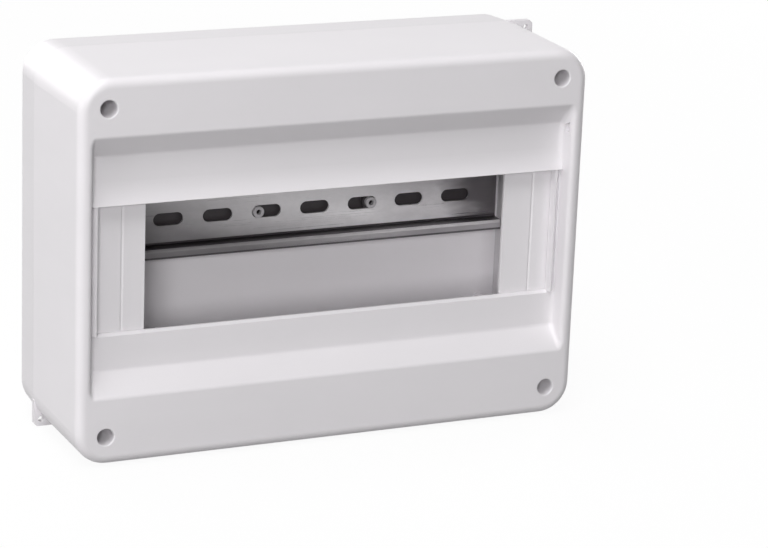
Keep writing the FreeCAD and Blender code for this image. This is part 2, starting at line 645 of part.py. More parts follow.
def make_columns(body):
    """Four columns that carry the cover screws at the foot of their deep recesses."""
    columns = sketch_on(body, "column_outline", "XZ_Plane", COLUMN_END)
    four(columns, SCREW_X, SCREW_Z, "recess_diameter + 2 * column_wall")
    pad(body, "columns", columns, f"body_depth - cover_wall / 2 - {COLUMN_END}")
    recesses = sketch_on(body, "recess_outline", "XZ_Plane", "body_depth")
    four(recesses, SCREW_X, SCREW_Z, "recess_diameter")
    pocket(body, "recesses", recesses, "recess_depth")
    front = measure("body_depth")
    reach = measure("recess_diameter")
    fillet(body, "recess_mouths",
           lambda edge: flat_at(edge, front) and edge.BoundBox.DiagonalLength < 2 * reach, "recess_round")
    holes = sketch_on(body, "seat_hole_outline", "XZ_Plane", COLUMN_END)
    four(holes, SCREW_X, SCREW_Z, "screw_diameter + 2 * screw_clearance")
    pocket(body, "seat_holes", holes, "column_floor", reverse=True)


def make_guides(body):
    """A frame behind the window with lips above and below, in which the strips slide."""
    end, edge = f"({STRIP_END} + strip_play)", f"({STRIP_HALF} + strip_play)"
    frame = sketch_on(body, "guide_outline", "XZ_Plane", f"{FLOOR_BACK} - {STRIP_ROOM}")
    for wall in ("guide_wall", "0"):
        rectangle(frame, f"-({end} + {wall})", f"{end} + {wall}", f"-({edge} + {wall})", f"{edge} + {wall}")
    pad(body, "guide_frame", frame, f"{STRIP_ROOM} + cover_wall / 2")
    lips = sketch_on(body, "guide_lip_outline", "XZ_Plane", f"{FLOOR_BACK} - {STRIP_ROOM}")
    for sign in ("-", ""):
        rectangle(lips, f"-({end} + guide_wall)", f"{end} + guide_wall",
                  f"{sign}({edge} - guide_lip)", f"{sign}({edge} + guide_wall)")
    pad(body, "guide_lips", lips, "guide_wall", reverse=True)


# Rail, strips and screws

def make_din_rail():
    body = new_body("din_rail")
    section = sketch_on(body, "rail_outline", "YZ_Plane")
    lip_y, back_y = f"-{LIP_FRONT}", f"-{WEB_BACK}"
    lip_back, web_y = f"-({LIP_FRONT} - rail_thickness)", f"-{WEB_FRONT}"
    edge, outer, inner = "rail_height / 2", "rail_inner / 2", "(rail_inner / 2 - rail_thickness)"
    outline(section, [(lip_y, f"-{edge}"), (lip_back, f"-{edge}"), (lip_back, f"-{outer}"),
                      (back_y, f"-{outer}"), (back_y, outer), (lip_back, outer),
                      (lip_back, edge), (lip_y, edge), (lip_y, inner),
                      (web_y, inner), (web_y, f"-{inner}"), (lip_y, f"-{inner}")])
    pad(body, "rail", section, RAIL_LENGTH, both_ways=True)
    tips = measure(edge)
    fillet(body, "rail_inner_bends", lambda line: is_bend(line, tips, inner_side=True), "rail_bend")
    fillet(body, "rail_outer_bends", lambda line: is_bend(line, tips, inner_side=False),
           "rail_bend + rail_thickness")
    first = sketch_on(body, "rail_slot_outline", "XZ_Plane", WEB_FRONT)
    slot(first, f"-{FIRST_SLOT}", "0", "rail_slot_length", "rail_slot_width")
    cut = pocket(body, "rail_slot", first, "rail_thickness")
    count = f"floor(({RAIL_LENGTH} - rail_slot_inset) / rail_pitch) + 1"
    repeated(body, "rail_slots", [cut], f"rail_pitch * ({count} - 1)", count)
    return body


def is_bend(edge, tips, inner_side):
    """True for the rail's long edges on the inside or the outside of its four bends."""
    if len(edge.Vertexes) != 2 or abs(edge.Vertexes[0].X - edge.Vertexes[1].X) < 1:
        return False
    y, z = -edge.Vertexes[0].Y, abs(edge.Vertexes[0].Z)
    if abs(z - tips) < 1e-4:
        return False
    web_back, web_front = measure(WEB_BACK), measure(WEB_FRONT)
    lip_front, lip_back = measure(LIP_FRONT), measure(f"{LIP_FRONT} - rail_thickness")
    chosen = (web_front, lip_back) if inner_side else (web_back, lip_front)
    return any(abs(y - level) < 1e-4 for level in chosen)


def make_strip(name, left):
    """A blanking strip: a plate behind the window, with a score line to snap it at."""
    body = new_body(name)
    plate = sketch_on(body, name + "_outline", "XZ_Plane", f"{FLOOR_BACK} - strip_play - strip_thickness")
    rectangle(plate, left, f"{left} + strip_width", f"-{STRIP_HALF}", STRIP_HALF)
    pad(body, name + "_plate", plate, "strip_thickness")
    score = sketch_on(body, name + "_score_outline", "XY_Plane")
    face = f"-({FLOOR_BACK} - strip_play)"
    outline(score, [(f"{left} + strip_score - strip_score_width / 2", face),
                    (f"{left} + strip_score + strip_score_width / 2", face),
                    (f"{left} + strip_score", f"{face} + strip_score_depth")])
    pocket(body, name + "_score", score, f"2 * {STRIP_HALF}", both_ways=True)
    return body


def make_cover_screw(name, across, up):
    """A long-recessed cover screw: round head with a driver slot, plain shank."""
    body = new_body(name)
    head = sketch_on(body, name + "_head_outline", "XZ_Plane", SEAT)
    circle(head, across, up, "screw_head_diameter")
    pad(body, name + "_head", head, "screw_head_height")
    shank = sketch_on(body, name + "_shank_outline", "XZ_Plane", SEAT)
    circle(shank, across, up, "screw_diameter")
    pad(body, name + "_shank", shank, "screw_length", reverse=True)
    driver = sketch_on(body, name + "_slot_outline", "XZ_Plane", f"{SEAT} + screw_head_height")
    rectangle(driver, f"{across} - screw_head_diameter", f"{across} + screw_head_diameter",
              f"{up} - screw_slot_width / 2", f"{up} + screw_slot_width / 2")
    pocket(body, name + "_slot", driver, "screw_slot_depth")
    return body


# The terminal carrier

def terminals(side):
    """Places of one bar's terminals along X: the main one first, then the branches."""
    middle = f"{side}{BAR_SHIFT}"
    start = f"({middle} - {BAR_LENGTH} / 2 + bar_end)"
    return [start] + [f"({start} + main_pitch + {i} * terminal_pitch)" for i in range(BRANCHES)]


def make_carrier():
    body = new_body("terminal_carrier")
    beam = sketch_on(body, "beam_outline", "XZ_Plane", CARRIER_BACK)
    low, high = f"-({CARRIER_DROP} + carrier_height / 2)", f"-({CARRIER_DROP} - carrier_height / 2)"
    rectangle(beam, f"-{CARRIER_WIDTH} / 2", f"{CARRIER_WIDTH} / 2", low, high)
    pad(body, "beam", beam, "carrier_thickness")
    legs = sketch_on(body, "leg_outline", "XZ_Plane", CARRIER_BACK)
    for sign in ("-", ""):
        middle = f"{sign}{LEG_SHIFT}"
        rectangle(legs, f"{middle} - leg_thickness / 2", f"{middle} + leg_thickness / 2",
                  f"-({CARRIER_DROP} + leg_width / 2)", f"-({CARRIER_DROP} - leg_width / 2)")
    pad(body, "legs", legs, f"{CARRIER_BACK} - base_wall", reverse=True)
    pockets = sketch_on(body, "bar_pocket_outline", "XZ_Plane", "carrier_front")
    for side in ("-", ""):
        half_x, half_z = f"({BAR_LENGTH} / 2 + bar_play)", f"({BAR_HEIGHT} / 2 + bar_play)"
        rectangle(pockets, f"{side}{BAR_SHIFT} - {half_x}", f"{side}{BAR_SHIFT} + {half_x}",
                  f"-({CARRIER_DROP} + {half_z})", f"-({CARRIER_DROP} - {half_z})")
    pocket(body, "bar_pockets", pockets, "bar_depth + bar_play")
    wires = sketch_on(body, "wire_hole_outline", "XY_Plane", low)
    for side in ("-", ""):
        for index, across in enumerate(terminals(side)):
            circle(wires, across, WIRE_ROW, "terminal_bore" if index else "main_bore")
    pocket(body, "wire_holes", wires, "carrier_height", reverse=True)
    return body


def make_bar(name, side):
    """A brass bar with a wire hole and a screw hole for each terminal."""
    body = new_body(name)
    block = sketch_on(body, name + "_outline", "XZ_Plane", "carrier_front - bar_depth")
    rectangle(block, f"{side}{BAR_SHIFT} - {BAR_LENGTH} / 2", f"{side}{BAR_SHIFT} + {BAR_LENGTH} / 2",
              f"-({CARRIER_DROP} + {BAR_HEIGHT} / 2)", f"-({CARRIER_DROP} - {BAR_HEIGHT} / 2)")
    pad(body, name + "_block", block, "bar_depth")
    wires = sketch_on(body, name + "_wire_outline", "XY_Plane", f"-({CARRIER_DROP} + {BAR_HEIGHT} / 2)")
    screws = sketch_on(body, name + "_screw_outline", "XZ_Plane", "carrier_front")
    for index, across in enumerate(terminals(side)):
        circle(wires, across, WIRE_ROW, "terminal_bore" if index else "main_bore")
        circle(screws, across, f"-{CARRIER_DROP}", "terminal_screw" if index else "main_screw")
    pocket(body, name + "_wires", wires, BAR_HEIGHT, reverse=True)
    pocket(body, name + "_screws", screws, "wire_hole_back")
    return body


def make_terminal_screw(name, across, diameter):
    """A grub screw with a driver slot, flush with the bar's front."""
    barrel = DOC.addObject("Part::Cylinder", name + "_barrel")
    barrel.setExpression("Radius", bound(f"{diameter} / 2 - screw_fit"))
    barrel.setExpression("Height", bound("terminal_screw_depth"))
    driver = DOC.addObject("Part::Box", name + "_driver")
    driver.setExpression("Length", bound(f"2 * {diameter}"))
    driver.setExpression("Width", bound("terminal_slot_width"))
    driver.setExpression("Height", bound("terminal_slot_depth"))
    driver.setExpression("Placement.Base.x", bound(f"-{diameter}"))
    driver.setExpression("Placement.Base.y", bound("-terminal_slot_width / 2"))
    driver.setExpression("Placement.Base.z", bound("terminal_screw_depth - terminal_slot_depth"))
    screw = DOC.addObject("Part::Cut", name)
    screw.Base = barrel
    screw.Tool = driver
    forward = FreeCAD.Rotation(FreeCAD.Vector(1, 0, 0), 90)
    screw.Placement = FreeCAD.Placement(FreeCAD.Vector(0, 0, 0), forward)
    screw.setExpression("Placement.Base.x", bound(across))
    screw.setExpression("Placement.Base.y", bound("-(carrier_front - terminal_screw_depth)"))
    screw.setExpression("Placement.Base.z", bound(f"-{CARRIER_DROP}"))
    return screw


def make_terminal_screws(word, side):
    """One bar's main screw, and its branch screws as a group."""
    places = terminals(side)
    main = make_terminal_screw(f"main_terminal_screw_{word}", places[0], "main_screw")
    main.Label = f"main_terminal_screw_{word}"
    group = DOC.addObject("Part::Compound", f"branch_terminal_screws_{word}")
    group.Label = f"branch_terminal_screws_{word}"
    group.Links = [make_terminal_screw(f"branch_{word}_{index}", across, "terminal_screw")
                   for index, across in enumerate(places[1:], start=1)]
    return [main, group]


# The whole board

parts = [make_base_box(), make_front_cover(), make_din_rail(),
         make_strip("blanking_strip_left", f"-{STRIP_END}"),
         make_strip("blanking_strip_right", f"({STRIP_END} - strip_width)")]
for word, up in (("upper", ""), ("lower", "-")):
    for hand, across in (("left", "-"), ("right", "")):
        parts.append(make_cover_screw(f"cover_screw_{word}_{hand}", across + SCREW_X, up + SCREW_Z))
parts.append(make_carrier())
for word, side in (("left", "-"), ("right", "")):
    parts.append(make_bar(f"terminal_bar_{word}", side))
    parts.extend(make_terminal_screws(word, side))
DOC.recompute()

for item in DOC.Objects:
    if "Invalid" in item.State or "Error" in item.State:
        raise RuntimeError(f"{item.Label} failed: {item.State}")
for item in parts:
    if item.Shape.isNull() or not item.Shape.isValid():
        raise RuntimeError(f"{item.Label} has no valid shape")

os.makedirs("parts", exist_ok=True)
for item in parts:
    item.Shape.exportStep(f"parts/{item.Label}.step")
    box = item.Shape.BoundBox
    print(f"{item.Label}: {len(item.Shape.Solids)} solid, {item.Shape.Volume / 1000:.2f} cm3,",
          f"x {box.XMin:.1f} {box.XMax:.1f},",
          f"y {box.YMin:.1f} {box.YMax:.1f}, z {box.ZMin:.1f} {box.ZMax:.1f}")
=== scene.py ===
# %% [markdown]
# A surface distribution board: a pale plastic tray, a deep cover with a wide window, and a zinc rail.
#
# The measured shapes come from the CAD model, which is loaded as a fixed frame. This lesson dresses
# that frame: it makes the plastics and metals, sets the photographer's table and light, and puts the
# camera where the photographer stood.

# %% Load the measured model
import math

import bpy
import bmesh
from mathutils import Matrix, Vector


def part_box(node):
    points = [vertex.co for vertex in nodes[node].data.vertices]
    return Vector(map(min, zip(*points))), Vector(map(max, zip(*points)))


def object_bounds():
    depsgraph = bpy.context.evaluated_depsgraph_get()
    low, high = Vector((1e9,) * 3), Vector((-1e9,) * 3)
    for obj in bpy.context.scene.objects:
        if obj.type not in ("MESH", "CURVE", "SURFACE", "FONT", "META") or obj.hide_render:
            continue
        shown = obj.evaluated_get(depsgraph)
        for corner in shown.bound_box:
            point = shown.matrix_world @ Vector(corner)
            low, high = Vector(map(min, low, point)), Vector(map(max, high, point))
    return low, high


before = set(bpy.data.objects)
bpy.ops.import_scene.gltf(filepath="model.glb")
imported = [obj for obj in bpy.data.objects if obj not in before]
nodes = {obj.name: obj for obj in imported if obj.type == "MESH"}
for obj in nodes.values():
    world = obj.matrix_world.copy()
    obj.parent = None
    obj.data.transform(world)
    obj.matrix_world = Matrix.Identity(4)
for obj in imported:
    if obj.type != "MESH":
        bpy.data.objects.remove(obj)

cad_low, cad_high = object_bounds()
print("pieces from the CAD model:", len(nodes))
print("box in mm:", [round(1000 * (h - l), 1) for l, h in zip(cad_low, cad_high)])

# %% [markdown]
# The camera comes first, because every later choice is judged through it. A long lens far away gives
# the flat, calm look of a catalogue picture. The board sits left of and above the middle of the
# picture, so the lens is shifted a little instead of turning the camera, which would tilt the verticals.

# %% The photographer's camera
PICTURE_WIDTH, PICTURE_HEIGHT = 768, 548
SENSOR = 36.0


def camera_axes(azimuth, elevation, roll):
    """Right, up and forward of a camera turned by these angles, in degrees."""
    a, e, r = map(math.radians, (azimuth, elevation, roll))
    forward = Vector((-math.sin(a) * math.cos(e), math.cos(a) * math.cos(e), -math.sin(e)))
    level = Vector((math.cos(a), math.sin(a), 0))
    upright = level.cross(forward)
    right = math.cos(r) * level + math.sin(r) * upright
    return right, math.cos(r) * upright - math.sin(r) * level, forward


def make_camera(azimuth, elevation, roll, aim, distance, focal_pixels, middle):
    """A camera whose straight-ahead point lies at a chosen place of the picture, in pixels."""
    right, up, forward = camera_axes(azimuth, elevation, roll)
    data = bpy.data.cameras.new("camera")
    data.sensor_width = SENSOR
    data.lens = focal_pixels / PICTURE_WIDTH * SENSOR
    data.shift_x = (PICTURE_WIDTH / 2 - middle[0]) / PICTURE_WIDTH
    data.shift_y = (middle[1] - PICTURE_HEIGHT / 2) / PICTURE_WIDTH
    data.clip_start, data.clip_end = 0.05, 30
    made = bpy.data.objects.new("camera", data)
    turn = Matrix((right, up, -forward)).transposed().to_4x4()
    made.matrix_world = Matrix.Translation(aim - forward * distance) @ turn
    bpy.context.scene.collection.objects.link(made)
    return made


AIM = Vector((-0.024617, -0.084, 0.027952))
camera = make_camera(azimuth=-22.787, elevation=15.631, roll=1.696, aim=AIM,
                     distance=1.23071, focal_pixels=2744.6, middle=(289.64, 200.0))
bpy.context.scene.camera = camera
shift = [round(part, 3) for part in (camera.data.shift_x, camera.data.shift_y)]
print("lens", round(camera.data.lens, 1), "mm, shift", shift)

# %% [markdown]
# Materials are written as sums. A node's output is wrapped in a small class, so that 1 - mask or
# noise * 0.2 adds the Math nodes by itself. Written out as nodes the same sum would fill a page, and the
# reader couldn't see what it says. Every other node comes from one method, add, which takes the node's
# type, its settings and its inputs.

# %% A socket that can do sums
class Value:
    """An output of a node. Plus, minus and times add Math nodes to the same tree."""

    def __init__(self, finish, socket):
        self.finish, self.socket = finish, socket

    def sum_with(self, operation, first, second):
        return self.finish.add("ShaderNodeMath", {"operation": operation}, {0: first, 1: second})

    def __add__(self, other):
        return self.sum_with("ADD", self, other)

    def __sub__(self, other):
        return self.sum_with("SUBTRACT", self, other)

    def __mul__(self, other):
        return self.sum_with("MULTIPLY", self, other)

    def __rsub__(self, other):
        return self.sum_with("SUBTRACT", other, self)

    def above(self, limit):
        """1 where the value is above a limit, else 0."""
        return self.sum_with("GREATER_THAN", self, limit)

    __radd__, __rmul__ = __add__, __mul__


print("sums: plus, minus, times and above")

# %% [markdown]
# A finish is one material under construction. It keeps the node tree and its shader together and has a
# short word for each thing that the materials below need: a noise, a ramp, a blend of two colours, a
# relief. A Mix node has a set of sockets for each kind of data, so those for colours go by number.

# %% A finish: one material and the way to add nodes to it
MIX_FACTOR, MIX_FIRST_COLOUR, MIX_SECOND_COLOUR, MIX_COLOUR_OUT = 0, 6, 7, 2


class Finish:
    """A material under construction."""

    def __init__(self, name, **shader):
        self.material = bpy.data.materials.new(name)
        self.material.use_nodes = True
        self.tree = self.material.node_tree
        self.shader = self.tree.nodes["Principled BSDF"]
        for socket, number in shader.items():
            self.shader.inputs[socket.replace("_", " ")].default_value = number

    def add(self, kind, settings=None, inputs=None, output=0):
        """A node of this kind. Its settings are set first, then its sockets get values or links."""
        made = self.tree.nodes.new(kind)
        for name, setting in (settings or {}).items():
            if name == "stops":
                ramp = made.color_ramp.elements
                for stop, (place, shade) in zip(ramp, setting):
                    stop.position, stop.color = place, (shade, shade, shade, 1)
            else:
                setattr(made, name, setting)
        for name, value in (inputs or {}).items():
            self.feed(made.inputs[name], value)
        return Value(self, made.outputs[output])

    def feed(self, socket, value):
        if isinstance(value, Value):
            self.tree.links.new(value.socket, socket)
        else:
            socket.default_value = value

    def set(self, **inputs):
        """Links or values for the shader's own sockets."""
        for socket, value in inputs.items():
            self.feed(self.shader.inputs[socket.replace("_", " ")], value)

    def axes(self):
        """X, Y and Z on the piece, in metres."""
        spot = self.add("ShaderNodeTexCoord", output="Object")
        split = self.add("ShaderNodeSeparateXYZ", {}, {"Vector": spot}).socket.node
        return [Value(self, socket) for socket in split.outputs]

    def place(self, scale):
        """Coordinates on the piece in metres, stretched by a scale."""
        spot = self.add("ShaderNodeTexCoord", output="Object")
        return self.add("ShaderNodeMapping", {}, {"Vector": spot, "Scale": scale})

    def noise(self, scale, detail=2.0, rough=0.5, stretch=(1, 1, 1)):
        return self.add("ShaderNodeTexNoise", {}, {"Vector": self.place(stretch), "Scale": scale,
                                                   "Detail": detail, "Roughness": rough})

    def ramp(self, value, dark_at, light_at, low=0.0, high=1.0):
        return self.add("ShaderNodeValToRGB", {"stops": [(dark_at, low), (light_at, high)]}, {"Fac": value})

    def blend(self, factor, one, other):
        """A colour between two colours."""
        return self.add("ShaderNodeMix", {"data_type": "RGBA"},
                        {MIX_FACTOR: factor, MIX_FIRST_COLOUR: one, MIX_SECOND_COLOUR: other},
                        output=MIX_COLOUR_OUT)

    def larger(self, one, other):
        """The larger of two masks, point by point."""
        return self.add("ShaderNodeMath", {"operation": "MAXIMUM"}, {0: one, 1: other})

    def relief(self, height, depth, soften=0.0003):
        """Bumps of this depth in metres, on edges that are softened a little."""
        edge = self.add("ShaderNodeBevel", {"samples": 4}, {"Radius": soften})
        self.set(Normal=self.add("ShaderNodeBump", {}, {"Height": height, "Distance": depth,
                                                        "Strength": 1.0, "Normal": edge}))


def colour(red, green, blue):
    return (red, green, blue, 1.0)


print("helpers ready")

# %% [markdown]
# The tray and the cover are moulded in a white plastic that is close to neutral. Such a moulding isn't
# one flat colour. The steel mould is spark-eroded, which leaves a fine matt grain. The plastic flows in
# from the gate and freezes in long faint streaks, and its gloss changes a little where the walls are
# thicker. Three noises of different size give that: grain into the bump, streaks and clouds into colour
# and gloss. A picture of the plastic could do it too, but noise has no edges and fits any shape.

# %% White moulded plastic
# Painted light: the tray's inside is painted this paler white.
PAINTED_LIGHT_WHITE = colour(0.95, 0.92, 0.95)
# Painted shade: the floor behind the rail's slots and the pegs in them are painted this dark.
PAINTED_SHADE_DARK = colour(0.056, 0.049, 0.053)
DUST = colour(0.55, 0.53, 0.50)


def moulded_plastic(name, pale, shaded, gloss=0.42, grain=0.000018, streaks=(1.0, 3.0, 14.0),
                    inside=None, shade=None):
    """Plastic between a pale and a shaded tone. Two optional masks paint light or shade onto places of it.
    """
    finish = Finish(name, Specular_IOR_Level=0.42, IOR=1.5)
    grit = finish.noise(1900, detail=3.0, rough=0.6)
    streak = finish.noise(5.5, detail=4.0, rough=0.55, stretch=streaks)
    cloud = finish.noise(24, detail=3.0, rough=0.5)
    mix = finish.ramp(streak * 0.55 + cloud * 0.45, 0.34, 0.66)
    speck = finish.ramp(finish.noise(900, detail=1.0), 0.70, 0.78)
    tone = finish.blend(mix, colour(*shaded), colour(*pale))
    # Painted light where the first mask lies.
    if inside:
        tone = finish.blend(inside(finish), tone, PAINTED_LIGHT_WHITE)
    # Painted shade where the second mask lies.
    if shade:
        tone = finish.blend(shade(finish), tone, PAINTED_SHADE_DARK)
    finish.set(Base_Color=finish.blend(speck * 0.05, tone, DUST),
               Roughness=cloud * 0.10 + grit * 0.08 + (gloss - 0.09))
    finish.relief(grit + cloud * 0.6, grain)
    return finish.material


print("plastic ready, palest tone:", PAINTED_LIGHT_WHITE[:3])

# %% [markdown]
# Two places of the tray differ from the rest, and both are painted. The inside is painted a paler white
# than the outside, as painted light, because little lamp light reaches into the tray. And the floor
# behind the rail's slots gets almost no light, so the slots look nearly black: that floor and the pegs in
# the slots are painted dark, as painted shade. Lamps can't be told to miss such a narrow gap, so both
# places are painted with masks. Each mask is a box in metres, read off the CAD pieces, and a product of
# limits.

# %% Masks for the tray
def painted_shade_behind_rail(finish):
    """Painted shade: 1 on the tray's strip that the rail covers, and part of it on the pegs in its slots."""
    (left, lip_front, low), (right, web_back, high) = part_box("din_rail")
    across, deep, up = finish.axes()
    flange, skin, web_rim, peg_start = 0.004, 0.0012, 0.0001, 0.002
    on_pegs, more_behind = 0.4, 0.6
    wide = across.above(left) * (1 - across.above(right))
    tall = up.above(low + flange) * (1 - up.above(high - flange))
    depth = deep.above(web_back - web_rim) * more_behind + deep.above(lip_front + peg_start) * on_pegs
    return wide * tall * depth * (1 - deep.above(-skin))


def painted_light_inside_tray(finish):
    """Painted light: 1 on the tray's inner walls and floor, and 0 on the outer skin and the rear face."""
    (left, _, low), (right, wall, high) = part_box("base_box")
    across, deep, up = finish.axes()
    skin, rear_skin = 0.0035, 0.0012
    wide = across.above(left + skin) * (1 - across.above(right - skin))
    tall = up.above(low + skin) * (1 - up.above(high - skin))
    return wide * tall * (1 - deep.above(wall - rear_skin))


# %% [markdown]
# The mouldings come from different tools, so each gets its own tone and its own run of the streaks. A
# high number packs the noise closely along that axis, and the streaks then run along the low one: from
# side to side on the tray and the cover, and up and down on the blanking strips.

# %% The five plastics
tray_plastic = moulded_plastic("tray_white_plastic", (0.770, 0.748, 0.770), (0.750, 0.728, 0.750),
                               inside=painted_light_inside_tray, shade=painted_shade_behind_rail)
cover_plastic = moulded_plastic("cover_white_plastic", (0.806, 0.782, 0.806), (0.784, 0.761, 0.784),
                                streaks=(1.0, 2.0, 9.0))
strip_plastic = moulded_plastic("strip_white_plastic", (0.812, 0.788, 0.812), (0.790, 0.767, 0.790),
                                gloss=0.38, streaks=(9.0, 2.0, 1.0))
carrier_plastic = moulded_plastic("carrier_white_plastic", (0.815, 0.796, 0.808), (0.795, 0.776, 0.788),
                                  gloss=0.36)
pin_plastic = moulded_plastic("screw_grey_plastic", (0.70, 0.69, 0.685), (0.66, 0.65, 0.645), gloss=0.34)
plastics = (tray_plastic, cover_plastic, strip_plastic, carrier_plastic, pin_plastic)
print("plastics:", ", ".join(plastic.name for plastic in plastics))

# %% [markdown]
# The rail is cold-rolled steel strip with a thin zinc plating. Rolling leaves fine lines along the
# strip, which spread the reflections up and down, and the zinc clouds over in soft darker patches. The
# lines are a noise that is stretched very far along X, in the bump and in the roughness. In store the
# zinc also grows a chalky white bloom. Bloom isn't metal, so where it lies the material is mostly a
# pale powder: the same mask that pales the colour takes Metallic down.

# %% Zinc-plated strip steel
BLOOM = colour(0.97, 0.945, 0.965)
# Painted shade: the rail's left end is darkened towards this tone.
LEFT_SHADE_ZINC = colour(0.200, 0.190, 0.198)
# Painted shade: the right end, the bends and the lip's lower edge are darkened towards this tone.
PAINTED_DARK_ZINC = colour(0.100, 0.088, 0.095)


def plated_steel(name, bright, dull, along=(4.0, 2600.0, 2600.0), shine=0.30, bloom_and_shade=None):
    """Zinc with lines along a direction. An optional function gives three masks: bloom and two of painted
    shade.
    """
    finish = Finish(name, Metallic=1.0)
    lines = finish.noise(1.0, detail=4.0, rough=0.6, stretch=along)
    patch = finish.noise(1.0, detail=3.0, rough=0.5, stretch=(18.0, 120.0, 120.0))
    stain = finish.ramp(patch, 0.40, 0.68)
    tone = finish.blend(stain * 0.30 + lines * 0.25, colour(*bright), colour(*dull))
    if bloom_and_shade:
        chalk, left_shade, dark = bloom_and_shade(finish)
        tone = finish.blend(chalk, tone, BLOOM)
        tone = finish.blend(left_shade, tone, LEFT_SHADE_ZINC)
        tone = finish.blend(dark, tone, PAINTED_DARK_ZINC)
        finish.set(Metallic=1 - chalk * 0.85)
    finish.set(Base_Color=tone, Roughness=lines * 0.12 + stain * 0.08 + (shine - 0.08))
    finish.relief(lines, 0.000012, soften=0.00015)
    return finish.material


print("steel ready, bloom:", BLOOM[:3])

# %% [markdown]
# The rail's painted shade follows its shape. The left end is painted darker, as shade, and the right end,
# the bends and the lip's lower edge are painted darker still; the lip's face keeps less bloom, a painted
# shade too. The measures are those of a top-hat rail 7.5 mm deep, in metres from the wall and from its
# middle line. A ramp reads 0 to 1 only, so X is moved by half a metre before it goes into one. A noise
# shifts the ends a little, so that they don't stop along a straight edge.

# %% Bloom and painted shade on the rail
WEB_FRONT, LIP_BACK, BEND_FRONT = -0.0090, -0.0118, -0.0122
BEND_START, BEND_STOP, LIP_START, OUTER_EDGE = 0.0112, 0.0137, 0.0142, 0.0166
X_TO_RAMP, RAGGED = 0.5, 0.03
RIGHT_END, RIGHT_SLANT, RIGHT_DARKNESS = (0.590, 0.607), 0.2, 0.62
LEFT_END, LEFT_SLANT, LEFT_END_SHADE = (0.432, 0.526), 3.0, 0.92
# Less bloom on the lip's face paints it a little darker, as shade.
BEND_DARKNESS, EDGE_DARKNESS, LIP_FACE_SHADE, LIP_BRIGHTNESS = 0.80, 0.8, 0.60, 0.15


def rail_bloom_and_shade(finish):
    """Three masks: chalky bloom, painted shade at the left end, darker painted shade at the bends and right
    end.
    """
    across, deep, up = finish.axes()
    off_middle = finish.add("ShaderNodeMath", {"operation": "ABSOLUTE"}, {0: up})
    cloud = finish.noise(1.0, detail=3.0, rough=0.6, stretch=(26.0, 90.0, 90.0)) * RAGGED - RAGGED / 2
    along = across + cloud + X_TO_RAMP
    web = deep.above(WEB_FRONT)
    lip = 1 - deep.above(LIP_BACK)
    lip_face = lip * off_middle.above(LIP_START)
    # Painted shade: the bends, both ends, the lip's face and the lip's lower edge are darkened.
    bend = off_middle.above(BEND_START) * (1 - off_middle.above(BEND_STOP)) * deep.above(BEND_FRONT)
    right_end = finish.ramp(along + up * RIGHT_SLANT, *RIGHT_END) * web
    left_end = 1 - finish.ramp(along + up * LEFT_SLANT, *LEFT_END)
    bloom = finish.noise(1.0, detail=5.0, rough=0.65, stretch=(190.0, 330.0, 330.0))
    spots = finish.ramp(bloom, 0.40, 0.62, low=0.80)
    chalk = spots * (1 - right_end) * (1 - bend) * (1 - lip_face * LIP_FACE_SHADE)
    outer_edge = lip * off_middle.above(OUTER_EDGE) * EDGE_DARKNESS
    dark = finish.larger(finish.larger(right_end * RIGHT_DARKNESS, bend * BEND_DARKNESS), outer_edge)
    return chalk, left_end * LEFT_END_SHADE * (1 - lip * LIP_BRIGHTNESS), dark


rail_zinc = plated_steel("rail_zinc", (0.72, 0.705, 0.72), (0.55, 0.54, 0.55), bloom_and_shade=rail_bloom_and_shade)
terminal_zinc = plated_steel("terminal_screw_zinc", (0.66, 0.65, 0.62), (0.45, 0.44, 0.41),
                             along=(500.0, 500.0, 500.0))
print("steels:", rail_zinc.name, terminal_zinc.name)

# %% [markdown]
# The terminal bars are cut from drawn brass rod. Drawing leaves lines along the bar, and handling
# leaves brown tarnish in soft spots. It is the rail's way again, with shorter, wider lines and no bloom.

# %% Drawn brass
def drawn_brass(name):
    finish = Finish(name, Metallic=1.0)
    lines = finish.noise(1.0, detail=4.0, rough=0.6, stretch=(20.0, 1400.0, 1400.0))
    tarnish = finish.ramp(finish.noise(160, detail=4.0, rough=0.6), 0.48, 0.72)
    finish.set(Base_Color=finish.blend(tarnish * 0.55, colour(0.80, 0.62, 0.30), colour(0.48, 0.32, 0.14)),
               Roughness=lines * 0.14 + tarnish * 0.18 + 0.18)
    finish.relief(lines, 0.00002, soften=0.00015)
    return finish.material


brass = drawn_brass("drawn_brass")
print("brass:", brass.name)

# %% [markdown]
# Each CAD piece keeps its shape and takes one of these finishes in its material slots. The table below
# goes by the start of a piece's name, and the longest start that fits wins.

# %% Dress the pieces
FINISHES = {
    "base_box": tray_plastic, "front_cover": cover_plastic, "din_rail": rail_zinc,
    "blanking_strip": strip_plastic, "cover_screw": pin_plastic, "terminal_carrier": carrier_plastic,
    "terminal_bar": brass, "main_terminal_screw": terminal_zinc, "branch_terminal_screws": terminal_zinc,
}


def dress(piece, material):
    if not piece.material_slots:
        piece.data.materials.append(material)
    for slot in piece.material_slots:
        slot.material = material


for name, piece in nodes.items():
    start = max((key for key in FINISHES if name.startswith(key)), key=len)
    dress(piece, FINISHES[start])
    print(f"{name} in {FINISHES[start].name}")

# %% [markdown]
# The table is a plain pale sheet that runs back and up behind the board without an edge, as a
# photographer's paper roll does. A flat floor and a wall would show a line where they meet. So it is
# spun from a few points: a flat part, a quarter turn and a wall. Seen by the camera it glows, which
# makes it white without more light on the board, while the board's soft shadow still shows. Shiny parts
# mirror that glow too. To all other light the paper is grey, so that it hardly lights the board.

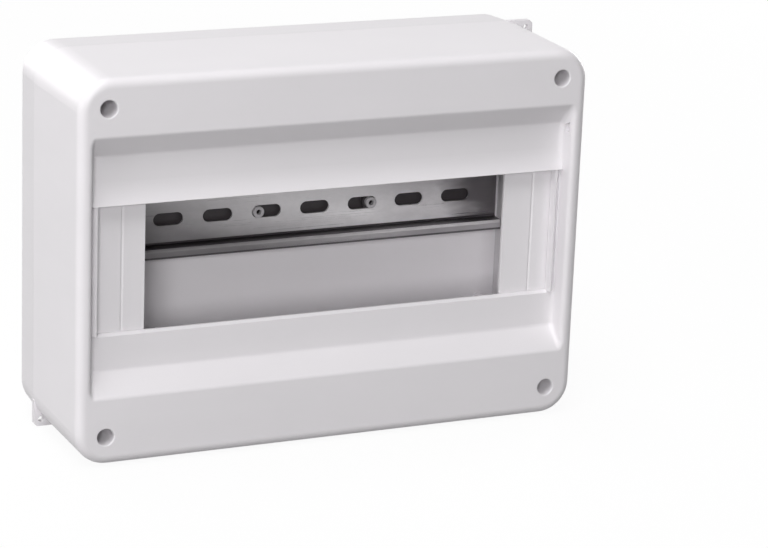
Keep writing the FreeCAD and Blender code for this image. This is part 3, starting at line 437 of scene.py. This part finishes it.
# %% The paper roll
def paper_roll(name, floor_z, front_y, back_y, bend, width, height):
    mesh = bmesh.new()
    start = mesh.verts.new((-width / 2, front_y, floor_z))
    end = mesh.verts.new((-width / 2, back_y, floor_z))
    mesh.edges.new((start, end))
    turned = bmesh.ops.spin(mesh, geom=[end], cent=(0, back_y, floor_z + bend), axis=(1, 0, 0),
                            angle=math.pi / 2, steps=24, use_duplicate=False)
    top = next(item for item in turned["geom_last"] if isinstance(item, bmesh.types.BMVert))
    wall = bmesh.ops.extrude_vert_indiv(mesh, verts=[top])
    bmesh.ops.translate(mesh, verts=wall["verts"], vec=(0, 0, height))
    sides = bmesh.ops.extrude_edge_only(mesh, edges=mesh.edges[:])
    moved = [item for item in sides["geom"] if isinstance(item, bmesh.types.BMVert)]
    bmesh.ops.translate(mesh, verts=moved, vec=(width, 0, 0))
    bmesh.ops.recalc_face_normals(mesh, faces=mesh.faces)
    data = bpy.data.meshes.new(name)
    mesh.to_mesh(data)
    mesh.free()
    data.shade_smooth()
    made = bpy.data.objects.new(name, data)
    bpy.context.scene.collection.objects.link(made)
    return made


def paper(name, glow, mirror_glow):
    """White paper: what the camera or a mirror sees of it is mixed with a plain white glow."""
    finish = Finish(name, Roughness=0.9, Specular_IOR_Level=0.1)
    to_the_board, to_the_camera = colour(0.22, 0.22, 0.22), colour(0.9, 0.9, 0.9)
    seen = finish.add("ShaderNodeLightPath", output="Is Camera Ray")
    finish.set(Base_Color=finish.blend(seen, to_the_board, to_the_camera))
    mirrored = finish.add("ShaderNodeLightPath", output="Is Glossy Ray")
    white = finish.add("ShaderNodeEmission", {}, {"Color": colour(1, 1, 1), "Strength": 1.0})
    out = finish.tree.nodes["Material Output"]
    mix = finish.add("ShaderNodeMixShader", {}, {0: seen * glow + mirrored * mirror_glow, 2: white})
    finish.tree.links.new(finish.shader.outputs[0], mix.socket.node.inputs[1])
    finish.tree.links.new(mix.socket, out.inputs["Surface"])
    return finish.material


roll = paper_roll("paper_roll", floor_z=cad_low.z, front_y=-2.2, back_y=1.6, bend=0.8, width=7.0, height=2.5)
dress(roll, paper("white_paper", glow=0.93, mirror_glow=0.75))
print("paper roll:", len(roll.data.polygons), "faces")

# %% [markdown]
# The light is soft and comes from above and from the left, so the board's top and left side are a
# little brighter than its front, and the slope under the cover's upper part lies in half shade. Three
# large lamps give that: one near the camera, one overhead, and one between the two. Two more stand at the
# left, and two light the right side and the back for a viewer who walks round. A lamp's power is easiest
# to find when it is rendered alone, because the pictures of single lamps simply add up. The world fills
# the shade a little.

# %% Lamps and world
LAMPS = (  # name, direction from the board, distance, width, watts
    ("camera_side_lamp", (-0.40, -0.87, 0.28), 2.4, 0.7, 24.5),
    ("overhead_lamp", (-0.12, 0.10, 0.98), 1.8, 1.1, 11.0),
    ("front_overhead_lamp", (-0.30, -0.44, 0.84), 2.8, 1.5, 35.0),
    ("left_front_lamp", (-0.93, -0.30, 0.20), 2.4, 1.0, 11.0),
    ("left_lamp", (-0.96, 0.26, 0.10), 1.8, 1.0, 8.0),
    ("right_lamp", (0.86, 0.50, 0.10), 2.0, 1.2, 28.0),
    ("back_lamp", (-0.20, 0.97, 0.15), 2.0, 1.2, 14.0),
)
BOARD_MIDDLE = Vector((0, -0.04, 0))
WORLD_STRENGTH = 0.05


def soft_lamp(name, place, target, size, watts):
    data = bpy.data.lights.new(name, "AREA")
    data.shape, data.size, data.energy = "DISK", size, watts
    lamp = bpy.data.objects.new(name, data)
    direction = target - place
    lamp.matrix_world = Matrix.Translation(place) @ direction.to_track_quat("-Z", "Y").to_matrix().to_4x4()
    bpy.context.scene.collection.objects.link(lamp)
    return lamp


for name, way, distance, size, watts in LAMPS:
    lamp = soft_lamp(name, BOARD_MIDDLE + distance * Vector(way), BOARD_MIDDLE, size, watts)
    print(f"{lamp.name}: {watts} W, {size} m wide, {distance} m away")

world = bpy.data.worlds.new("studio")
bpy.context.scene.world = world
world.use_nodes = True
sky = world.node_tree.nodes["Background"].inputs
sky["Color"].default_value = colour(1, 1, 1)
sky["Strength"].default_value = WORLD_STRENGTH
bpy.context.scene.view_settings.view_transform = "Standard"
print("world strength:", WORLD_STRENGTH, "view:", bpy.context.scene.view_settings.view_transform)
